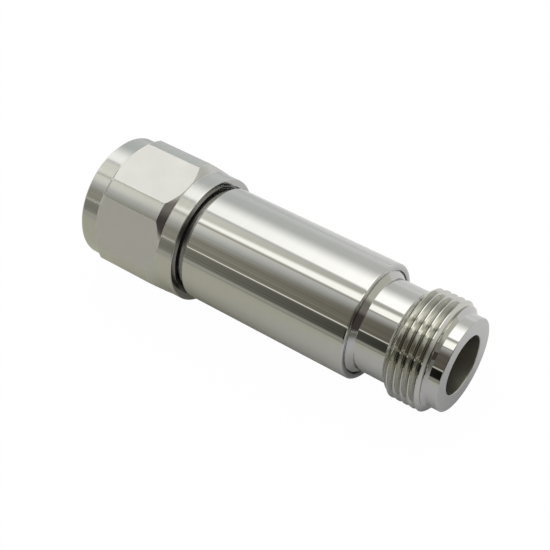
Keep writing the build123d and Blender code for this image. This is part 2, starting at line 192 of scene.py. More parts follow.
def screw_thread_tree():
    """Geometry Nodes tree that adds a 60 degree thread, as one strip wound round the axis, to
    the open end rings of a turned blank. Side is 1 for an external thread and -1 for an internal
    one. It stores thread_depth, which is 0 on a crest and 1 at the root, and 0.9 on the cone
    where the thread runs in, so that this cone takes the root's painted shade."""
    tree = bpy.data.node_groups.new("screw_thread", "GeometryNodeTree")
    tree.interface.new_socket("Geometry", in_out="INPUT", socket_type="NodeSocketGeometry")
    tree.interface.new_socket("Geometry", in_out="OUTPUT", socket_type="NodeSocketGeometry")
    for name in (
        "Side",
        "Pitch",
        "Crest Radius",
        "Root Radius",
        "Start",
        "End",
        "Start Radius",
        "End Radius",
        "Start Slope",
        "End Slope",
        "Shift",
    ):
        tree.interface.new_socket(name, in_out="INPUT", socket_type="NodeSocketFloat")
    tree.interface.new_socket("Steps Round", in_out="INPUT", socket_type="NodeSocketInt")
    tree.interface.new_socket("Material", in_out="INPUT", socket_type="NodeSocketMaterial")
    entry = tree.nodes.new("NodeGroupInput").outputs
    link = tree.links.new

    def calc(operation, *values, clamp=False):
        return math_node(tree, operation, *values, clamp=clamp)

    rows_per_turn = 16
    root_flat = 0.2
    crest_flat = 0.125
    run_in_shade = 0.9
    row_margin = 1e-4
    length = calc("SUBTRACT", entry["End"], entry["Start"])
    turns = calc("ADD", calc("CEIL", calc("DIVIDE", length, entry["Pitch"])), 1)
    strip_length = calc("MULTIPLY", turns, entry["Pitch"])
    strip = tree.nodes.new("GeometryNodeMeshGrid")
    strip.inputs["Size X"].default_value = 1
    link(strip_length, strip.inputs["Size Y"])
    link(calc("ADD", entry["Steps Round"], 1), strip.inputs["Vertices X"])
    rows = calc("ADD", calc("MULTIPLY", turns, rows_per_turn), 1)
    link(rows, strip.inputs["Vertices Y"])

    place = tree.nodes.new("ShaderNodeSeparateXYZ")
    link(tree.nodes.new("GeometryNodeInputPosition").outputs[0], place.inputs[0])
    turn = calc("ADD", place.outputs["X"], 0.5)
    along = calc("ADD", place.outputs["Y"], calc("MULTIPLY", strip_length, 0.5))
    phase = calc("FRACT", calc("ADD", calc("DIVIDE", along, entry["Pitch"]), row_margin))
    ramp = calc("ABSOLUTE", calc("SUBTRACT", calc("MULTIPLY", phase, 2), 1))
    flank = calc(
        "DIVIDE", calc("SUBTRACT", ramp, root_flat), 1 - root_flat - crest_flat, clamp=True
    )
    depth = calc("SUBTRACT", entry["Crest Radius"], entry["Root Radius"])
    thread_radius = calc("ADD", entry["Root Radius"], calc("MULTIPLY", flank, depth))

    wound = calc("ADD", along, calc("MULTIPLY", entry["Pitch"], calc("SUBTRACT", turn, 1)))
    x = calc("ADD", calc("ADD", entry["Start"], wound), entry["Shift"])
    x = calc("MINIMUM", calc("MAXIMUM", x, entry["Start"]), entry["End"])
    rise = calc("MULTIPLY", calc("SUBTRACT", x, entry["Start"]), entry["Start Slope"])
    fall = calc("MULTIPLY", calc("SUBTRACT", entry["End"], x), entry["End Slope"])
    start_cone = calc("ADD", calc("MULTIPLY", entry["Start Radius"], entry["Side"]), rise)
    end_cone = calc("ADD", calc("MULTIPLY", entry["End Radius"], entry["Side"]), fall)
    blank = calc("MINIMUM", start_cone, end_cone)
    radius = calc("MINIMUM", calc("MULTIPLY", thread_radius, entry["Side"]), blank)
    radius = calc("MULTIPLY", radius, entry["Side"])
    cut = calc("LESS_THAN", calc("MULTIPLY", thread_radius, entry["Side"]), blank)
    hollow = calc("DIVIDE", calc("SUBTRACT", entry["Crest Radius"], thread_radius), depth)
    hollow = calc("MULTIPLY", hollow, cut, clamp=True)
    # Painted shade: the cone where the thread runs in is marked nearly as deep as the root, so it
    # takes the root's dark colour.
    run_in = calc("MULTIPLY", calc("LESS_THAN", start_cone, end_cone), calc("SUBTRACT", 1, cut))
    hollow = calc("MULTIPLY_ADD", run_in, run_in_shade, hollow, clamp=True)
    angle = calc("MULTIPLY", turn, 2 * pi)
    wrapped = tree.nodes.new("ShaderNodeCombineXYZ")
    link(x, wrapped.inputs["X"])
    link(calc("MULTIPLY", radius, calc("MULTIPLY", calc("SINE", angle), -1)), wrapped.inputs["Y"])
    link(calc("MULTIPLY", radius, calc("COSINE", angle)), wrapped.inputs["Z"])
    marked = tree.nodes.new("GeometryNodeStoreNamedAttribute")
    marked.data_type = "FLOAT"
    marked.inputs["Name"].default_value = "thread_depth"
    link(strip.outputs["Mesh"], marked.inputs["Geometry"])
    link(hollow, marked.inputs["Value"])
    placed = tree.nodes.new("GeometryNodeSetPosition")
    link(marked.outputs["Geometry"], placed.inputs["Geometry"])
    link(wrapped.outputs[0], placed.inputs["Position"])

    joined = tree.nodes.new("GeometryNodeJoinGeometry")
    link(placed.outputs["Geometry"], joined.inputs[0])
    link(entry["Geometry"], joined.inputs[0])
    merged = tree.nodes.new("GeometryNodeMergeByDistance")
    merged.inputs["Distance"].default_value = 2 * same_point
    link(joined.outputs[0], merged.inputs["Geometry"])
    realized = tree.nodes.new("GeometryNodeRealizeInstances")
    link(merged.outputs[0], realized.inputs["Geometry"])
    finish = tree.nodes.new("GeometryNodeSetMaterial")
    link(realized.outputs[0], finish.inputs["Geometry"])
    link(entry["Material"], finish.inputs["Material"])
    result = tree.nodes.new("NodeGroupOutput")
    link(finish.outputs[0], result.inputs["Geometry"])
    return tree


def threaded_mesh(name, blank, material, **sizes):
    """The blank's mesh with the thread added between its open rings, closed, facing outwards."""
    holder = bpy.data.objects.new(name, blank)
    scene.collection.objects.link(holder)
    modifier = holder.modifiers.new("thread", "NODES")
    modifier.node_group = thread_tree
    entries = [s for s in thread_tree.interface.items_tree if s.in_out == "INPUT"]
    sockets = {s.name: s.identifier for s in entries}
    for key, value in sizes.items():
        modifier[sockets[key.replace("_", " ").title()]] = value
    modifier[sockets["Pitch"]] = thread_pitch
    modifier[sockets["Steps Round"]] = round_steps
    modifier[sockets["Material"]] = material
    mesh = evaluated_mesh(holder)
    bpy.data.objects.remove(holder)
    shape = bmesh.new()
    shape.from_mesh(mesh)
    bmesh.ops.dissolve_degenerate(shape, dist=same_point, edges=shape.edges)
    bmesh.ops.recalc_face_normals(shape, faces=shape.faces)
    shape.to_mesh(mesh)
    shape.free()
    mesh.shade_smooth()
    return mesh


def object_point(tree):
    """The shaded point in the piece's own coordinates."""
    return tree.nodes.new("ShaderNodeTexCoord").outputs["Object"]


def split_point(tree, point):
    """A point's X, Y and Z."""
    split = tree.nodes.new("ShaderNodeSeparateXYZ")
    tree.links.new(point, split.inputs[0])
    return split.outputs


def off_axis(tree, y, z):
    """Distance from the axis of a point at Y and Z."""
    y_squared = math_node(tree, "POWER", y, 2)
    z_squared = math_node(tree, "POWER", z, 2)
    return math_node(tree, "SQRT", math_node(tree, "ADD", y_squared, z_squared))


def noise_at(tree, point, scale, detail=2, roughness=0.5):
    """Noise at a point, from 0 to 1."""
    node = tree.nodes.new("ShaderNodeTexNoise")
    settings = {"Vector": point, "Scale": scale, "Detail": detail, "Roughness": roughness}
    for name, setting in settings.items():
        feed(tree, node.inputs[name], setting)
    return node.outputs["Fac"]


def stretched_noise(tree, x, y, z, waves, detail, roughness=0.5):
    """Noise that has its own number of waves to the metre along X, Y and Z."""
    spot = tree.nodes.new("ShaderNodeCombineXYZ")
    for socket, place, rate in zip(spot.inputs, (x, y, z), waves):
        tree.links.new(math_node(tree, "MULTIPLY", place, rate), socket)
    return noise_at(tree, spot.outputs[0], 1, detail, roughness)


def ranged(tree, value, start, end, low=0, high=1, smooth=True):
    """Low where a value is at its start, high where it is at its end, and blended between."""
    node = tree.nodes.new("ShaderNodeMapRange")
    node.interpolation_type = "SMOOTHSTEP" if smooth else "LINEAR"
    settings = {"Value": value, "From Min": start, "From Max": end, "To Min": low, "To Max": high}
    for name, setting in settings.items():
        feed(tree, node.inputs[name], setting)
    return node.outputs[0]


def mixed_colour(tree, factor, first, second):
    """A Mix node between two colours, each a tuple or a socket."""
    node = tree.nodes.new("ShaderNodeMix")
    node.data_type = "RGBA"
    tree.links.new(factor, node.inputs["Factor"])
    colours = [s for s in node.inputs if s.type == "RGBA"]
    for socket, colour in zip(colours, (first, second)):
        feed(tree, socket, colour)
    return [s for s in node.outputs if s.type == "RGBA"][0]


def raised_normal(tree, height, depth):
    """Normal of a surface raised by a height from 0 to 1 that stands for that depth."""
    bump = tree.nodes.new("ShaderNodeBump")
    bump.inputs["Distance"].default_value = depth
    tree.links.new(height, bump.inputs["Height"])
    return bump.outputs["Normal"]


def turning_marks_group():
    """Shader group for the marks that a lathe tool and a polishing belt leave: fine rings along
    the axis on round faces, and round the axis on end faces. It puts out a height and a tone."""
    group = bpy.data.node_groups.new("turning_marks", "ShaderNodeTree")
    line_kinds = ("Fine Lines", "Broad Lines")
    for name in line_kinds:
        group.interface.new_socket(name, in_out="INPUT", socket_type="NodeSocketFloat")
    for name in ("Height", "Tone"):
        group.interface.new_socket(name, in_out="OUTPUT", socket_type="NodeSocketFloat")
    entry = group.nodes.new("NodeGroupInput").outputs
    x, y, z = split_point(group, object_point(group))
    along = math_node(group, "ADD", x, off_axis(group, y, z))
    waves_round = 60
    fine, broad = [
        stretched_noise(group, along, y, z, (entry[name], waves_round, waves_round), 3, 0.65)
        for name in line_kinds
    ]
    height = math_node(group, "ADD", fine, math_node(group, "MULTIPLY", broad, 2))
    tone = math_node(group, "SUBTRACT", math_node(group, "ADD", fine, broad), 1)
    result = group.nodes.new("NodeGroupOutput")
    group.links.new(height, result.inputs["Height"])
    group.links.new(tone, result.inputs["Tone"])
    return group


def turned_metal(name, dark, light, roughness, line_depth=0.2):
    """Polished metal with turning marks. Dark and light are its colour in and beside the marks,
    which are some tenths of a micrometre deep. Its lines are counted to the metre."""
    fine_lines = 9000
    broad_lines = 900
    contrast = 1.2
    material = bpy.data.materials.new(name)
    material.use_nodes = True
    tree = material.node_tree
    shader = tree.nodes["Principled BSDF"]
    shader.inputs["Metallic"].default_value = 1
    marks = tree.nodes.new("ShaderNodeGroup")
    marks.node_tree = turning_marks
    marks.inputs["Fine Lines"].default_value = fine_lines
    marks.inputs["Broad Lines"].default_value = broad_lines
    height, tone = marks.outputs["Height"], marks.outputs["Tone"]
    beside = math_node(tree, "MULTIPLY_ADD", tone, contrast, 0.5, clamp=True)
    dulled = math_node(tree, "MULTIPLY_ADD", tone, roughness / 2, roughness, clamp=True)
    tree.links.new(mixed_colour(tree, beside, dark, light), shader.inputs["Base Color"])
    tree.links.new(dulled, shader.inputs["Roughness"])
    tree.links.new(raised_normal(tree, height, line_depth * micrometre), shader.inputs["Normal"])
    return material


def replaced_input(tree, socket, mask, value):
    """Mixes what feeds a shader's number or colour socket with a value, by a mask."""
    before = socket.links[0].from_socket
    if socket.type == "RGBA":
        mixed = mixed_colour(tree, mask, before, value)
    else:
        node = tree.nodes.new("ShaderNodeMix")
        for name, setting in (("Factor", mask), ("A", before), ("B", value)):
            feed(tree, node.inputs[name], setting)
        mixed = node.outputs[0]
    tree.links.new(mixed, socket)


def face_mark(tree, name):
    """A number that the mesh carries for each point or face."""
    mark = tree.nodes.new("ShaderNodeAttribute")
    mark.attribute_name = name
    return mark.outputs["Fac"]


def cut_thread(material, colour, roughness, root_shade_colour):
    """Finish of a thread as the tool left it, by the attribute thread_depth: flanks a little duller
    than the turned faces, with faint chatter on them. Their colour is painted light, lighter than
    the turned faces', and the colour towards the root is painted shade."""
    chatter_waves = 4200
    chatter_depth = 7 * micrometre
    flank_rise = 12
    root_shade_start = 0.8
    tree = material.node_tree
    shader = tree.nodes["Principled BSDF"]
    depth = face_mark(tree, "thread_depth")
    flank = math_node(tree, "MULTIPLY", depth, flank_rise, clamp=True)
    # Painted light: the flanks take a lighter colour than the turned faces.
    replaced_input(tree, shader.inputs["Base Color"], flank, colour)
    replaced_input(tree, shader.inputs["Roughness"], flank, roughness)
    # Painted shade: the colour darkens towards the root, where the crests shade it.
    root = ranged(tree, depth, root_shade_start, 1)
    replaced_input(tree, shader.inputs["Base Color"], root, root_shade_colour)
    chatter = noise_at(tree, object_point(tree), chatter_waves, 3)
    normal = raised_normal(tree, math_node(tree, "MULTIPLY", chatter, flank), chatter_depth)
    turned_normal = shader.inputs["Normal"].links[0].from_socket
    tree.links.new(turned_normal, normal.node.inputs["Normal"])
    tree.links.new(normal, shader.inputs["Normal"])


def bored_and_shaded_inside(material, radius, front, colour, roughness):
    """Dull finish that a boring tool left nearer the axis than a radius and behind a front, in a
    darker colour that is painted shade inside the bore.
    """
    tree = material.node_tree
    shader = tree.nodes["Principled BSDF"]
    x, y, z = split_point(tree, object_point(tree))
    inside = math_node(tree, "LESS_THAN", off_axis(tree, y, z), radius)
    shaded_bore = math_node(tree, "MULTIPLY", inside, math_node(tree, "GREATER_THAN", x, front))
    replaced_input(tree, shader.inputs["Base Color"], shaded_bore, colour)
    replaced_input(tree, shader.inputs["Roughness"], shaded_bore, roughness)


def milled_flats(material, dark, light, roughness):
    """Satin finish over the turned one, by the attribute milled, with a grain along the axis and
    a roughness that varies a little in clouds. Its colour is lighter than the turned steel's:
    painted light on the flats."""
    grain_waves = (900, 9000, 9000)
    cloud_waves = 260
    roughness_spread = 0.12
    tree = material.node_tree
    shader = tree.nodes["Principled BSDF"]
    milled = face_mark(tree, "milled")
    point = object_point(tree)
    x, y, z = split_point(tree, point)
    grain = stretched_noise(tree, x, y, z, grain_waves, 4)
    tone = math_node(tree, "MULTIPLY_ADD", grain, 0.5, 0.25, clamp=True)
    cloud = noise_at(tree, point, cloud_waves)
    smoothest = roughness - roughness_spread / 2
    satin = math_node(tree, "MULTIPLY_ADD", cloud, roughness_spread, smoothest)
    colour = mixed_colour(tree, tone, dark, light)
    replaced_input(tree, shader.inputs["Base Color"], milled, colour)
    replaced_input(tree, shader.inputs["Roughness"], milled, satin)


thread_tree = screw_thread_tree()
turning_marks = turning_marks_group()
nut_steel = turned_metal("nut_steel", (0.485, 0.482, 0.47), (0.52, 0.517, 0.51), 0.13, 0.08)
# Its thread's flanks are painted lighter, as painted light, and its root darker, as painted shade.
cut_thread(nut_steel, (0.60, 0.58, 0.52), 0.15, (0.30, 0.29, 0.25))
# Painted light: the flats take a lighter colour than the nut's turned steel.
milled_flats(nut_steel, (0.665, 0.658, 0.645), (0.71, 0.703, 0.69), 0.7)

# Blank of the nut: its outer outline, cut to the hexagon where it stands past the flats
nut_front, nut_rear = nut_low.x, nut_high.x
front_cone = nut_across_corners / 2 - nut_ring_radius
collar_front = nut_rear - nut_collar_length
corner_end = collar_front - nut_rear_cone
nut_mouth_edge = nut_mouth_radius + nut_mouth_chamfer
nut_outline = turned_outline(
    [
        (nut_front, nut_mouth_edge, 0),
        (nut_front, nut_ring_radius - nut_ring_chamfer, 0.08 * mm),
        (nut_front + nut_ring_chamfer, nut_ring_radius, 0.1 * mm),
        (nut_front + nut_ring_length, nut_ring_radius, 0),
        (nut_front + nut_ring_length + front_cone, nut_across_corners / 2, 0),
        (corner_end, nut_across_corners / 2, 0),
        (collar_front, nut_collar_radius, 0),
        (nut_rear, nut_collar_radius, nut_collar_round),
        (nut_rear, nut_relief_radius, 0),
    ]
)
bar_length = 60 * mm
hexagon = bpy.data.meshes.new("hexagon")
shape = bmesh.new()
bmesh.ops.create_cone(
    shape,
    cap_ends=True,
    segments=6,
    radius1=nut_across_flats / sqrt(3),
    radius2=nut_across_flats / sqrt(3),
    depth=bar_length,
)
bmesh.ops.rotate(shape, verts=shape.verts, matrix=Matrix.Rotation(pi / 2, 3, "Y"))
side_angles = [f.normal.angle(Vector((0, 0, 1))) for f in shape.faces if abs(f.normal.x) < 0.5]
if min(side_angles) > radians(10):
    bmesh.ops.rotate(shape, verts=shape.verts, matrix=Matrix.Rotation(pi / 6, 3, "X"))
shape.to_mesh(hexagon)
shape.free()
bar = bpy.data.objects.new("hexagon_bar", hexagon)
blank = bpy.data.objects.new("nut_blank", turned_mesh("nut_blank", nut_outline))
scene.collection.objects.link(bar)
scene.collection.objects.link(blank)
cut = blank.modifiers.new("hexagon", "BOOLEAN")
cut.operation = "INTERSECT"
cut.solver = "EXACT"
cut.object = bar
nut_mesh = evaluated_mesh(blank)
bpy.data.objects.remove(blank)
bpy.data.objects.remove(bar)

# The edges between the flats and the round parts are broken, the blank's inner wall comes out,
# and the mouth, the running bore and the thread take its place. The attribute milled marks the
# flats and the broken edges of their ends
sharp_angle = radians(14)
clear_of_ends = 0.6 * mm
bore_margin = 0.01 * mm
smallest_flat = (2 * mm) ** 2
shape = bmesh.new()
shape.from_mesh(nut_mesh)
bmesh.ops.remove_doubles(shape, verts=shape.verts, dist=same_point)


def across(point):
    """Distance of a point from the axis."""
    return sqrt(point.y**2 + point.z**2)


milled_layer = shape.faces.layers.float.new("milled")
sharp = [
    e
    for e in shape.edges
    if len(e.link_faces) == 2
    and e.calc_face_angle(0) > sharp_angle
    and min(across(v.co) for v in e.verts) > nut_relief_radius + clear_of_ends
    and max(v.co.x for v in e.verts) < nut_rear - clear_of_ends
    and min(v.co.x for v in e.verts) > nut_front + clear_of_ends
]
broken = bmesh.ops.bevel(
    shape,
    geom=sharp,
    offset=edge_break,
    offset_type="OFFSET",
    segments=2,
    profile=0.5,
    affect="EDGES",
    clamp_overlap=True,
)["faces"]
for f in broken:
    if abs(f.normal.x) > 0.1:
        f[milled_layer] = 1
inner = [
    f
    for f in shape.faces
    if max(across(v.co) for v in f.verts) < nut_relief_radius + bore_margin
]
bmesh.ops.delete(shape, geom=inner, context="FACES")
for f in shape.faces:
    if abs(f.normal.x) < 0.001 and f.calc_area() > smallest_flat:
        f[milled_layer] = 1
shape.to_mesh(nut_mesh)
shape.free()

nut_thread_front = nut_front + nut_mouth_depth
nut_thread_rear = nut_thread_front + nut_thread_length
nut_bored_radius = nut_relief_radius + bore_margin
# Painted shade: the nut's relief and running bore behind its thread take a darker colour, for the
# shade in the gap before the sleeve.
bored_and_shaded_inside(nut_steel, nut_bored_radius, nut_thread_rear, (0.34, 0.338, 0.325), 0.4)
nut_mouth_inside = turned_mesh(
    "nut_mouth",
    turned_outline(
        [
            (nut_front, nut_mouth_edge, 0),
            (nut_front + nut_mouth_chamfer, nut_mouth_radius, 0),
            (nut_thread_front, nut_mouth_radius, 0),
        ],
        closed=False,
    ),
    closed=False,
)
nut_running_bore = turned_mesh(
    "nut_bore",
    turned_outline(
        [
            (nut_thread_rear, nut_running_radius, 0),
            (nut_rear - nut_relief_depth, nut_running_radius, 0),
            (nut_rear - nut_relief_depth, nut_relief_radius, 0),
            (nut_rear, nut_relief_radius, 0),
        ],
        closed=False,
    ),
    closed=False,
)
shape = bmesh.new()
for part in (nut_mesh, nut_mouth_inside, nut_running_bore):
    shape.from_mesh(part)
bmesh.ops.remove_doubles(shape, verts=shape.verts, dist=2 * same_point)
shape.to_mesh(nut_mesh)
shape.free()
nut_mesh = threaded_mesh(
    "coupling_nut_thread",
    nut_mesh,
    nut_steel,
    side=-1.0,
    crest_radius=nut_thread_crest,
    root_radius=nut_thread_root,
    start=nut_thread_front,
    end=nut_thread_rear,
    start_radius=nut_mouth_radius,
    end_radius=nut_running_radius,
    start_slope=1.0,
    end_slope=1.0,
    shift=0.0,
)
nut = add_piece("nut_dressed", nut_mesh, "coupling_nut", "nut_steel", "coupling_nut")
smoothing_limit = radians(40)
nut_mesh.set_sharp_from_angle(angle=smoothing_limit)
normals = nut.modifiers.new("normals", "WEIGHTED_NORMAL")
normals.keep_sharp = True


# Snap ring: a split ring of spring steel, sprung into the nut's groove behind the flange of the
# plug body. The nut hides it, so it keeps its CAD shape.
spring_steel = turned_metal("spring_steel", (0.38, 0.38, 0.37), (0.46, 0.46, 0.45), 0.3)
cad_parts["nut_snap_ring"].material_slots[0].material = spring_steel


# Plug body: the turned stainless shoulder that shows between the nut and the sleeve. The nut
# runs on it, and its spigot is pressed into the sleeve.
# Its steel is a darker copy of the sleeve's: painted shade in the gap between the nut and the
# sleeve.
shaded_shoulder_steel = turned_metal(
    "shaded_shoulder_steel", (0.34, 0.338, 0.33), (0.40, 0.398, 0.39), 0.2, 0.06
)
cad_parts["plug_body"].material_slots[0].material = shaded_shoulder_steel


# Barrel sleeve: a plain stainless tube, turned and polished, pressed over the plug body's and
# the jack body's spigots. Its rear edge is rolled over a little.
sleeve_low, sleeve_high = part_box("barrel_sleeve")
sleeve_radius = sleeve_high.z
sleeve_bore = sleeve_radius - 0.85 * mm
polished_steel = turned_metal(
    "polished_steel", (0.49, 0.488, 0.48), (0.515, 0.512, 0.505), 0.03, 0.06
)
sleeve_outline = turned_outline(
    [
        (sleeve_low.x, sleeve_bore, 0),
        (sleeve_low.x, sleeve_radius, 0.15 * mm),
        (sleeve_high.x, sleeve_radius, 0.35 * mm),
        (sleeve_high.x, sleeve_bore, 0.1 * mm),
    ]
)
sleeve_mesh = turned_mesh("barrel_sleeve", sleeve_outline)
sleeve_mesh.materials.append(polished_steel)
add_piece("sleeve_dressed", sleeve_mesh, "attenuator_body", "polished_steel", "barrel_sleeve")


# Jack body: flange, neck, 5/8-24 external thread, nose and bore, turned from one stainless bar.
# Its thread runs out over a cone at the nose, and its flange, a 45 degree cone, is pressed into
# the sleeve.
jack_low, jack_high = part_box("jack_body")
jack_front = jack_high.x
flange_radius = 7.63 * mm
flange_face = sleeve_high.x - 0.25 * mm
neck_radius = 6.765 * mm
neck_start = flange_face + flange_radius - neck_radius
neck_length = 4.555 * mm
neck_end = neck_start + neck_length
thread_crest = 7.9375 * mm
thread_root = 7.29 * mm
nose_radius = 6.75 * mm
nose_length = 1.65 * mm
nose_foot = jack_front - nose_length
end_cone = 0.9 * mm
jack_mouth_radius = 4.3 * mm
jack_mouth_depth = 4.2 * mm
jack_seat_depth = 9.1 * mm
jack_bore_radius = 4.07 * mm
line_radius = 3.5 * mm
jack_back = jack_low.x
inner_seat = flange_face - 1.45 * mm
jack_outline = turned_outline(
    [
        (nose_foot, nose_radius, 0),
        (jack_front, nose_radius, 0.15 * mm),
        (jack_front, jack_mouth_radius, 0.15 * mm),
        (jack_front - jack_mouth_depth, jack_mouth_radius, 0),
        (jack_front - jack_mouth_depth, jack_bore_radius, 0),
        (jack_front - jack_seat_depth, jack_bore_radius, 0),
        (jack_front - jack_seat_depth, line_radius, 0),
        (inner_seat, line_radius, 0),
        (inner_seat, jack_bore_radius, 0),
        (jack_back, jack_bore_radius, 0),
        (jack_back, flange_radius, 0),
        (flange_face, flange_radius, 0.05 * mm),
        (neck_start, neck_radius, 0.08 * mm),
        (neck_end, neck_radius, 0),
    ],
    closed=False,
)
jack_bored_radius = jack_mouth_radius + 0.02 * mm
jack_steel = turned_metal("jack_steel", (0.49, 0.488, 0.48), (0.515, 0.512, 0.505), 0.03, 0.06)
# Its thread's flanks are painted lighter, as painted light, and its root darker, as painted shade.
cut_thread(jack_steel, (0.56, 0.553, 0.515), 0.09, (0.24, 0.235, 0.20))
# Painted shade: the jack's bore takes a darker colour for the shade inside it.
bored_and_shaded_inside(jack_steel, jack_bored_radius, jack_back, (0.34, 0.335, 0.29), 0.42)
jack_mesh = threaded_mesh(
    "jack_body_thread",
    turned_mesh("jack_blank", jack_outline, closed=False),
    jack_steel,
    side=1.0,
    crest_radius=thread_crest,
    root_radius=thread_root,
    start=neck_end,
    end=nose_foot,
    start_radius=neck_radius,
    end_radius=nose_radius,
    start_slope=1.0,
    end_slope=(thread_crest - nose_radius) / end_cone,
    shift=0.01 * mm,
)
jack_mesh.set_sharp_from_angle(angle=smoothing_limit)
add_piece("jack_dressed", jack_mesh, "attenuator_body", "polished_steel", "jack_body")


# Contacts: the plug's slotted outer contact is turned from bronze and plated white. Its pin, the
# jack's socket, and the clips and ground springs that grip the chip are gold-plated.
contact_bronze = turned_metal("contact_bronze", (0.55, 0.53, 0.47), (0.62, 0.60, 0.54), 0.18)
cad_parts["plug_contact"].material_slots[0].material = contact_bronze
gold = turned_metal("gold", (0.80, 0.55, 0.22), (0.90, 0.64, 0.28), 0.16)
for node in (
    "plug_pin",
    "jack_socket",
    "plug_chip_clip",
    "jack_chip_clip",
    "ground_spring_left",
    "ground_spring_right",
):
    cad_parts[node].material_slots[0].material = gold


# Insulating pieces: the beads are white fluoropolymer, the gasket is red-brown silicone and the
# chip is fired alumina.
def moulded(name, colour, pale, roughness, grain_waves):
    """Dull moulded or fired material with a fine mottled surface."""
    grain_depth = 4 * micrometre
    material = bpy.data.materials.new(name)
    material.use_nodes = True
    tree = material.node_tree
    shader = tree.nodes["Principled BSDF"]
    shader.inputs["Roughness"].default_value = roughness
    mottle = noise_at(tree, object_point(tree), grain_waves, 5)
    tree.links.new(mixed_colour(tree, mottle, colour, pale), shader.inputs["Base Color"])
    tree.links.new(raised_normal(tree, mottle, grain_depth), shader.inputs["Normal"])
    return material


insulator = moulded("insulator", (0.78, 0.77, 0.73), (0.86, 0.85, 0.82), 0.45, 900)
silicone = moulded("silicone", (0.42, 0.10, 0.05), (0.52, 0.15, 0.08), 0.5, 1500)
alumina = moulded("alumina", (0.75, 0.74, 0.70), (0.84, 0.83, 0.80), 0.55, 2500)
for node, material in (
    ("plug_bead", insulator),
    ("jack_bead", insulator),
    ("mating_gasket", silicone),
    ("attenuator_chip", alumina),
):
    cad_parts[node].material_slots[0].material = material


# Carrier of the chip: two halves machined from aluminium and the steel screws that clamp them,
# shut inside the sleeve. The ring behind the jack's bead is of the same metal.
carrier_metal = turned_metal("carrier_metal", (0.68, 0.69, 0.70), (0.78, 0.79, 0.80), 0.28)
for node in ("holder_upper", "holder_lower", "jack_bead_ring"):
    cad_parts[node].material_slots[0].material = carrier_metal
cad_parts["holder_screws"].material_slots[0].material = spring_steel


# Floor: a plain pale sheet of paper, nearly white to the camera. The object lies on it with the
# nut's collar and the crest of the jack's thread, so it slopes by about two degrees. In the
# metal it shows painted shade in place of its own white: duller in front and under the plug,
# darker at the back past the nut, and dark far past the jack.
floor_reach = 160 * mm
floor_gap = 0.03 * mm
collar_contact = Vector((nut_rear - nut_collar_round, 0, -nut_collar_radius))
thread_contact = Vector((nose_foot - end_cone, 0, -thread_crest))
slope = asin((thread_contact.z - collar_contact.z) / (thread_contact - collar_contact).length)
floor_mesh = bpy.data.meshes.new("floor")
shape = bmesh.new()
bmesh.ops.create_grid(shape, x_segments=1, y_segments=1, size=floor_reach)
shape.to_mesh(floor_mesh)
shape.free()
floor = bpy.data.objects.new("floor", floor_mesh)
floor_place = Matrix.Translation(collar_contact - Vector((0, 0, floor_gap)))
floor.matrix_world = floor_place @ Matrix.Rotation(-slope, 4, "Y")
scene.collection.objects.link(floor)
paper = bpy.data.materials.new("paper")
paper.use_nodes = True
tree = paper.node_tree
tree.nodes.remove(tree.nodes["Principled BSDF"])
ray = tree.nodes.new("ShaderNodeLightPath").outputs
sheet = tree.nodes.new("ShaderNodeBsdfDiffuse")
place = split_point(tree, object_point(tree))
# Painted shade on the sheet, seen only in the metal: duller in front and under the object, darker
# at the back past the nut, and dark far past the jack.
backwards = ranged(tree, place["Y"], -2 * mm, 28 * mm)
far_back = ranged(tree, place["Y"], 25 * mm, 75 * mm, 1, 0.35, smooth=False)
past_nut = ranged(tree, place["X"], 2 * mm, -30 * mm)
to_jack = ranged(tree, place["X"], -15 * mm, 50 * mm)
past_jack = ranged(tree, place["X"], 48 * mm, 95 * mm)
shade_past_nut = math_node(tree, "MULTIPLY", past_nut, far_back)
behind = mixed_colour(tree, shade_past_nut, (0.84, 0.84, 0.835), (0.51, 0.53, 0.52))
shaded_front = mixed_colour(tree, to_jack, (0.60, 0.594, 0.485), (0.64, 0.64, 0.65))
shaded_front = mixed_colour(tree, past_jack, shaded_front, (0.22, 0.215, 0.19))
painted_shade_in_metal = mixed_colour(tree, backwards, shaded_front, behind)
seen = mixed_colour(tree, ray["Is Glossy Ray"], (0.95, 0.95, 0.95), painted_shade_in_metal)
tree.links.new(seen, sheet.inputs["Color"])
white = tree.nodes.new("ShaderNodeEmission")
whiteness = 0.98
bright = tree.nodes.new("ShaderNodeMixShader")
tree.links.new(math_node(tree, "MULTIPLY", ray["Is Camera Ray"], whiteness), bright.inputs[0])
tree.links.new(sheet.outputs[0], bright.inputs[1])
tree.links.new(white.outputs[0], bright.inputs[2])
tree.links.new(bright.outputs[0], tree.nodes["Material Output"].inputs["Surface"])
floor_mesh.materials.append(paper)


